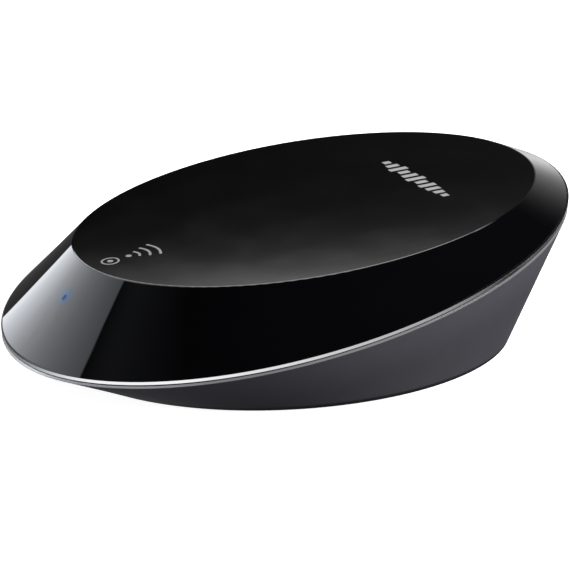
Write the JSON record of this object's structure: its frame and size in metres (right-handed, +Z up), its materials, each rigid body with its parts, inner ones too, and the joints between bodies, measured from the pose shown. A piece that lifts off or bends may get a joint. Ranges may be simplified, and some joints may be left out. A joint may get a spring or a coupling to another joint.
{
  "type": "wireless audio receiver",
  "caption": "Oval wedge-shaped desktop wireless audio receiver: glossy sloping top over a matte base, status light in front, power and audio sockets and a pairing button behind.",
  "frame": {"origin": "on the surface it stands on, under the middle of its outline", "axes": "+Z up; +Y towards the rear panel with the sockets and the button; +X to the right seen from the front"},
  "size_m": [0.0666, 0.08, 0.0228],
  "materials": {
    "gloss_cover": "polished black",
    "matte_case": "fine satin grey",
    "light_plastic": "clear, lit blue",
    "foot_rubber": "matte",
    "label_film": "satin silver, blank",
    "screw_steel": "zinc plated",
    "board": "green solder mask",
    "chip_black": "moulded epoxy",
    "tin_plate": "tinned",
    "ceramic_tan": "ceramic",
    "can_metal": "satin",
    "ferrite_grey": "sintered",
    "socket_steel": "nickel plated",
    "socket_plastic": "glass filled",
    "contact_gold": "gold flash",
    "button_plastic": "fine satin",
    "film_amber": "polyimide",
    "coil_copper": "copper",
    "led_body": "clear resin"
  },
  "bodies": {
    "case": {"top_cover": "gloss_cover", "bottom_case": "matte_case", "light_guide": "light_plastic", "rubber_feet": "foot_rubber", "rating_label": "label_film", "case_screws": "screw_steel", "main_board": "board", "status_led": "led_body", "radio_chip": "chip_black", "shield_frame": "tin_plate", "shield_lid": "tin_plate", "crystal": "can_metal", "memory_chip": "chip_black", "chip_antenna": "ceramic_tan", "audio_codec": "chip_black", "output_capacitors": "can_metal", "voltage_regulator": "chip_black", "power_inductor": "ferrite_grey", "supply_capacitors": "ceramic_tan", "chip_resistors": "chip_black", "usb_shell": "socket_steel", "usb_tongue": "socket_plastic", "usb_contacts": "contact_gold", "audio_jack_body": "socket_plastic", "audio_jack_terminals": "tin_plate", "switch_body": "socket_plastic", "switch_bracket": "tin_plate", "nfc_film": "film_amber", "nfc_coil": "coil_copper", "nfc_ferrite": "ferrite_grey", "nfc_connector": "socket_plastic", "nfc_chip": "chip_black"},
    "button": {"pair_button": "button_plastic", "switch_plunger": "socket_plastic"}
  },
  "joints": [
    {"name": "pair_button_press", "type": "slide", "parent": "case", "child": "button", "axis": [0, -1, 0], "range_m": [0, 0.00035], "stiffness_N_per_m": 3000}
  ]
}
